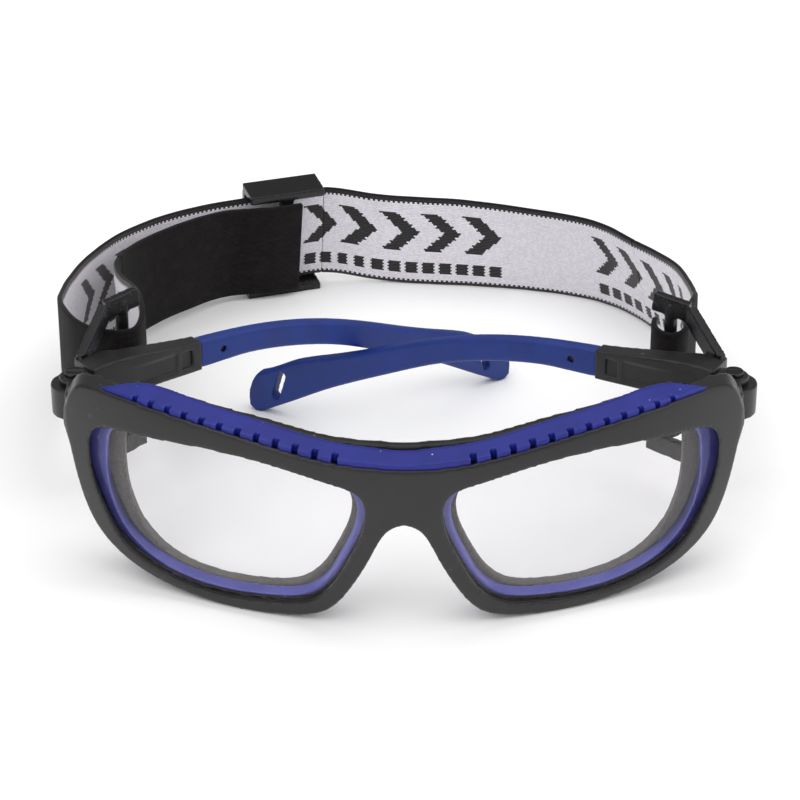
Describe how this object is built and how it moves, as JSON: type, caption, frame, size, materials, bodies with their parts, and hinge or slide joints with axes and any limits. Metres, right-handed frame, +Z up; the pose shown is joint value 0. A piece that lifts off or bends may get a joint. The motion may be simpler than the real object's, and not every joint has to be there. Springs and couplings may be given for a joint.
{
  "type": "safety goggles",
  "caption": "Wrap-round safety goggles with clear lenses, foam seal, ribbed brow bumper, folding temples and an adjustable elastic head strap on clips.",
  "frame": {"origin": "on the surface the goggles stand on, below the front of the bridge, on the middle plane of the front", "axes": "+Z up, +Y from the front towards the wearer, wearer's right is -X"},
  "size_m": [0.1516, 0.1739, 0.047],
  "materials": {
    "frame_plastic": "satin moulded, warm smoke grey",
    "brow_plastic": "satin blue-violet moulding",
    "tip_rubber": "soft-touch blue, matt",
    "carrier_plastic": "violet-blue, slightly translucent",
    "foam": "closed-cell foam, grey-brown, matt",
    "lens_clear": "clear polycarbonate, polished",
    "pad_rubber": "soft, matt",
    "screw_steel": "turned, slotted",
    "insert_brass": "turned",
    "clip_plastic": "black, semi-gloss",
    "strap_elastic": "woven elastic, pale inside and black outside, with black edges"
  },
  "bodies": {
    "front": {"front_frame": "frame_plastic", "lens_left": "lens_clear", "lens_right": "lens_clear", "brow_bumper": "brow_plastic", "seal_carrier": "carrier_plastic", "foam_seal": "foam", "nose_pad": "pad_rubber", "hinge_screw_left": "screw_steel", "hinge_screw_right": "screw_steel", "hinge_insert_left": "insert_brass", "hinge_insert_right": "insert_brass", "strap_back": "strap_elastic", "strap_side_left": "strap_elastic", "strap_outer_right": "strap_elastic", "strap_inner_right": "strap_elastic"},
    "temple_left": {"temple_arm_left": "frame_plastic", "temple_tip_left": "tip_rubber", "strap_clip_left": "clip_plastic"},
    "temple_right": {"temple_arm_right": "frame_plastic", "temple_tip_right": "tip_rubber", "strap_clip_right": "clip_plastic"},
    "buckle": {"buckle": "clip_plastic"}
  },
  "joints": [
    {"name": "temple_left_fold", "type": "hinge", "parent": "front", "child": "temple_left", "pos_m": [0.0685, 0.042, 0.031], "axis": [0, 0, 1], "range_deg": [-60.5, 19.5], "deforming": ["strap_side_left", "temple_tip_left"]},
    {"name": "temple_right_fold", "type": "hinge", "parent": "front", "child": "temple_right", "pos_m": [-0.0685, 0.042, 0.031], "axis": [0, 0, -1], "range_deg": [-51.1, 36.9], "deforming": ["strap_outer_right", "strap_inner_right", "temple_tip_right"]},
    {"name": "buckle_slide", "type": "slide", "parent": "front", "child": "buckle", "axis": [-0.9397, -0.342, 0], "range_m": [0, 0.012], "deforming": ["strap_outer_right", "strap_inner_right"]}
  ]
}
